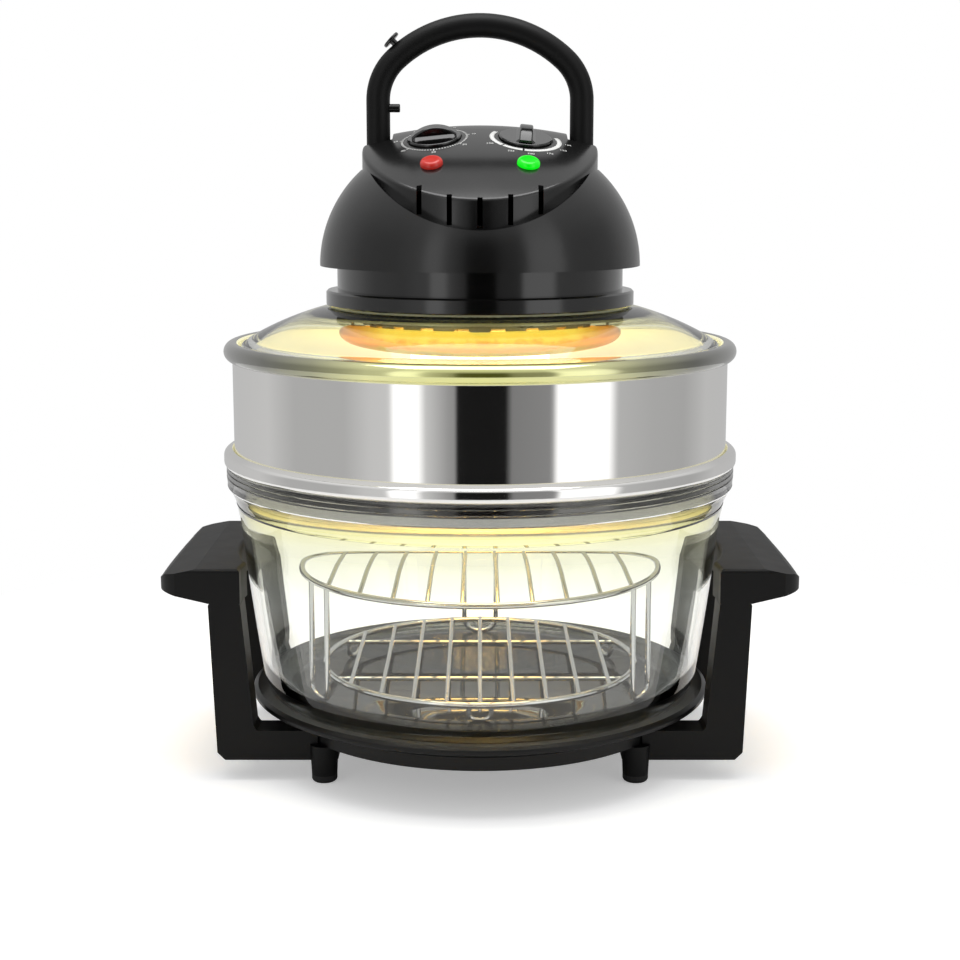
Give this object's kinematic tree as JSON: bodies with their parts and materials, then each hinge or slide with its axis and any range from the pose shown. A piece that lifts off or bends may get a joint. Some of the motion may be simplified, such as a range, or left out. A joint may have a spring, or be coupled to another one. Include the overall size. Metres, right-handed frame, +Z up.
{
  "type": "halogen oven",
  "caption": "Countertop halogen oven: glass bowl on a stand, steel extender ring, and a lift-off glass lid with fan, heater, dials and a folding bail handle.",
  "frame": {"origin": "on the floor under the feet, on the bowl's axis", "axes": "+Z up, the control face looks to -Y, +X to the right as seen from the front"},
  "size_m": [0.417, 0.3418, 0.4918],
  "materials": {
    "aluminium": "pressed",
    "amber_reflector": "heat-tinted reflector",
    "black_plastic": "satin moulded black",
    "black_rubber": "matte",
    "black_textured_plastic": "fine-grained black",
    "bronze": "sintered",
    "brushed_steel": "brushed",
    "ceramic": "unglazed",
    "chrome_wire": "bright plated",
    "clear_glass": "clear, polished",
    "copper_wire": "enamelled copper",
    "electrical_steel": "laminated steel",
    "green_lens_plastic": "translucent green",
    "grey_lip_plastic": "glossy black",
    "mineral_board": "fibre board",
    "neon_glass": "small tube",
    "polished_steel": "polished stainless",
    "quartz_glass": "clear quartz",
    "red_lens_plastic": "translucent red",
    "silicone": "matte",
    "tungsten": "drawn wire",
    "white_plastic": "moulded",
    "zinc_screws": "zinc plated"
  },
  "bodies": {
    "stand": {"base_tray": "grey_lip_plastic", "left_side_frame": "black_textured_plastic", "right_side_frame": "black_textured_plastic", "left_grip": "black_textured_plastic", "right_grip": "black_textured_plastic", "foot_pads": "black_rubber", "frame_screws": "zinc_screws"},
    "bowl": {"glass_bowl": "clear_glass"},
    "extender": {"extender_ring": "polished_steel"},
    "lid": {"lid_glass": "clear_glass", "glass_gaskets": "silicone", "lower_housing": "black_plastic", "cover_screws": "zinc_screws", "upper_cover": "black_plastic", "clamp_ring": "brushed_steel", "clamp_screws": "zinc_screws", "fan_shroud": "brushed_steel", "heater_pan": "amber_reflector", "pan_brackets": "brushed_steel", "heater_guard": "chrome_wire", "halogen_tube": "quartz_glass", "lamp_filament": "tungsten", "lamp_holders": "ceramic", "temperature_sensor": "bronze", "heat_shield": "aluminium", "insulation_disc": "mineral_board", "motor_bridges": "aluminium", "shaft_bushes": "bronze", "motor_core": "electrical_steel", "motor_coil": "copper_wire", "motor_screws": "zinc_screws", "terminal_block": "white_plastic", "timer_body": "brushed_steel", "thermostat_body": "brushed_steel", "neon_lamps": "neon_glass", "red_lens": "red_lens_plastic", "green_lens": "green_lens_plastic", "safety_switch": "white_plastic", "cord_gland": "black_textured_plastic", "pivot_pins": "zinc_screws"},
    "bail": {"bail_handle": "black_textured_plastic", "handle_stud": "black_plastic", "striker_peg": "black_plastic"},
    "timer_dial": {"timer_knob": "black_plastic", "timer_spindle": "bronze"},
    "thermostat_dial": {"thermostat_knob": "black_plastic", "thermostat_spindle": "bronze"},
    "rotor": {"motor_shaft": "brushed_steel", "motor_rotor": "electrical_steel", "convection_fan": "aluminium", "fan_nut": "zinc_screws", "cooling_fan": "aluminium"},
    "plunger": {"switch_plunger": "white_plastic"},
    "low_rack": {"low_rack": "chrome_wire"},
    "high_rack": {"high_rack": "chrome_wire"}
  },
  "joints": [
    {"name": "bowl_lift", "type": "slide", "parent": "stand", "child": "bowl", "axis": [0, 0, 1], "range_m": [0, 0.2]},
    {"name": "extender_lift", "type": "slide", "parent": "bowl", "child": "extender", "axis": [0, 0, 1], "range_m": [0, 0.15]},
    {"name": "lid_lift", "type": "slide", "parent": "extender", "child": "lid", "axis": [0, 0, 1], "range_m": [0, 0.15]},
    {"name": "low_rack_lift", "type": "slide", "parent": "bowl", "child": "low_rack", "axis": [0, 0, 1], "range_m": [0, 0.05]},
    {"name": "high_rack_lift", "type": "slide", "parent": "bowl", "child": "high_rack", "axis": [0, 0, 1], "range_m": [0, 0.12]},
    {"name": "bail_fold", "type": "hinge", "parent": "lid", "child": "bail", "pos_m": [0, 0.0085, 0.386], "axis": [-1, 0, 0], "range_deg": [0, 80]},
    {"name": "timer_turn", "type": "hinge", "parent": "lid", "child": "timer_dial", "pos_m": [-0.0295, -0.0125, 0.41128], "axis": [0.0949, 0.3168, -0.9437], "range_deg": [0, 300]},
    {"name": "thermostat_turn", "type": "hinge", "parent": "lid", "child": "thermostat_dial", "pos_m": [0.0295, -0.0125, 0.41128], "axis": [-0.0949, 0.3168, -0.9437], "range_deg": [0, 270]},
    {"name": "fan_spin", "type": "hinge", "parent": "lid", "child": "rotor", "pos_m": [0, 0, 0.32], "axis": [0, 0, 1], "continuous": true},
    {"name": "switch_press", "type": "slide", "parent": "lid", "child": "plunger", "axis": [0, 0, -1], "range_m": [0, 0.0015], "stiffness_N_per_m": 400}
  ]
}
